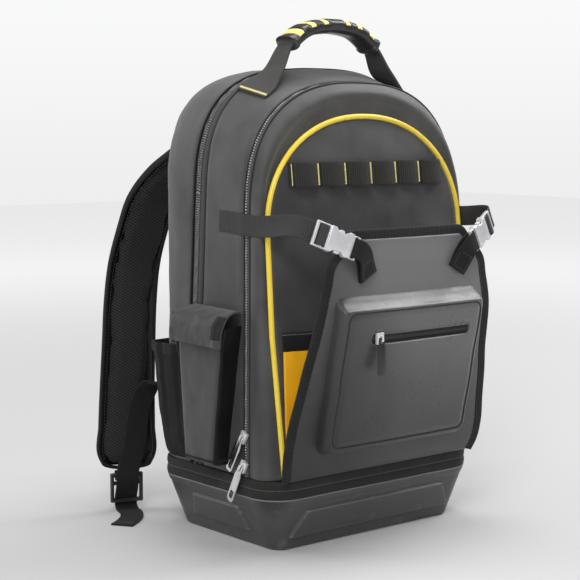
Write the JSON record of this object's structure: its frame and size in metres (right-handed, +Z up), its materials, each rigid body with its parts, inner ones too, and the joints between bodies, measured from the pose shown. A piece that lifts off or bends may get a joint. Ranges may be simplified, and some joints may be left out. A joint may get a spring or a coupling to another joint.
{
  "type": "tool backpack",
  "caption": "Tool backpack standing on a moulded base, with a front cover held by side-release buckles, tool loops, holster and side pockets, a carry handle and padded shoulder straps.",
  "frame": {"origin": "middle of the flat underside of the base, on the surface that the pack stands on", "axes": "+Z up; the front with the cover faces -Y, the shoulder straps are on the +Y side; +X points to the pack's own right, as its wearer has it"},
  "size_m": [0.4012, 0.3589, 0.5584],
  "materials": {
    "moulded": "satin",
    "webbing": "ribbed weave",
    "fabric": "coated weave, soft sheen",
    "coated": "smooth coated",
    "yellow": "matte",
    "amber": "matte weave",
    "silver": "satin",
    "chrome": "polished",
    "rubber": "satin",
    "mesh": "open mesh"
  },
  "bodies": {
    "pack": {"base_tub": "moulded", "base_band": "webbing", "rear_gusset": "fabric", "zip_rear": "webbing", "mid_gusset": "fabric", "zip_front": "webbing", "front_gusset": "fabric", "back_panel": "fabric", "front_panel": "fabric", "piping": "yellow", "loop_backing": "webbing", "tool_loops": "webbing", "inner_pocket": "amber", "inner_pocket_hem": "webbing", "cover_sheet": "coated", "cover_binding": "webbing", "cover_pocket": "coated", "pocket_zip": "webbing", "slider_upper": "silver", "slider_lower": "silver", "pocket_slider": "silver", "holster_box": "fabric", "holster_flap": "fabric", "holster_patch": "webbing", "side_pocket": "fabric", "side_pocket_binding": "webbing", "side_pocket_hem": "webbing", "handle_webbing": "webbing", "handle_grip": "rubber", "grip_rib_1": "yellow", "grip_rib_2": "yellow", "grip_rib_3": "yellow", "grip_rib_4": "yellow", "grip_rib_5": "yellow", "grip_rib_6": "yellow", "buckle_body_left": "silver", "buckle_clip_left": "silver", "side_strap_left": "webbing", "cover_tab_left": "webbing", "shoulder_strap_left": "mesh", "ladder_lock_left": "rubber", "strap_loop_left": "webbing", "lower_webbing_left": "webbing", "buckle_body_right": "silver", "buckle_clip_right": "silver", "side_strap_right": "webbing", "cover_tab_right": "webbing", "shoulder_strap_right": "mesh", "ladder_lock_right": "rubber", "strap_loop_right": "webbing", "lower_webbing_right": "webbing"},
    "upper_pull": {"pull_upper": "chrome"},
    "lower_pull": {"pull_lower": "chrome"},
    "cover_pull": {"pocket_pull": "rubber"}
  },
  "joints": [
    {"name": "upper_pull_hinge", "type": "hinge", "parent": "pack", "child": "upper_pull", "pos_m": [-0.15481, -0.05858, 0.121], "axis": [0, 0.8678, 0.4969], "range_deg": [0, 165]},
    {"name": "lower_pull_hinge", "type": "hinge", "parent": "pack", "child": "lower_pull", "pos_m": [-0.1551, -0.05858, 0.09], "axis": [0, 0.8916, 0.4529], "range_deg": [0, 165]},
    {"name": "cover_pull_hinge", "type": "hinge", "parent": "pack", "child": "cover_pull", "pos_m": [-0.055, -0.16369, 0.2265], "axis": [-1, 0, 0], "range_deg": [0, 165]}
  ]
}
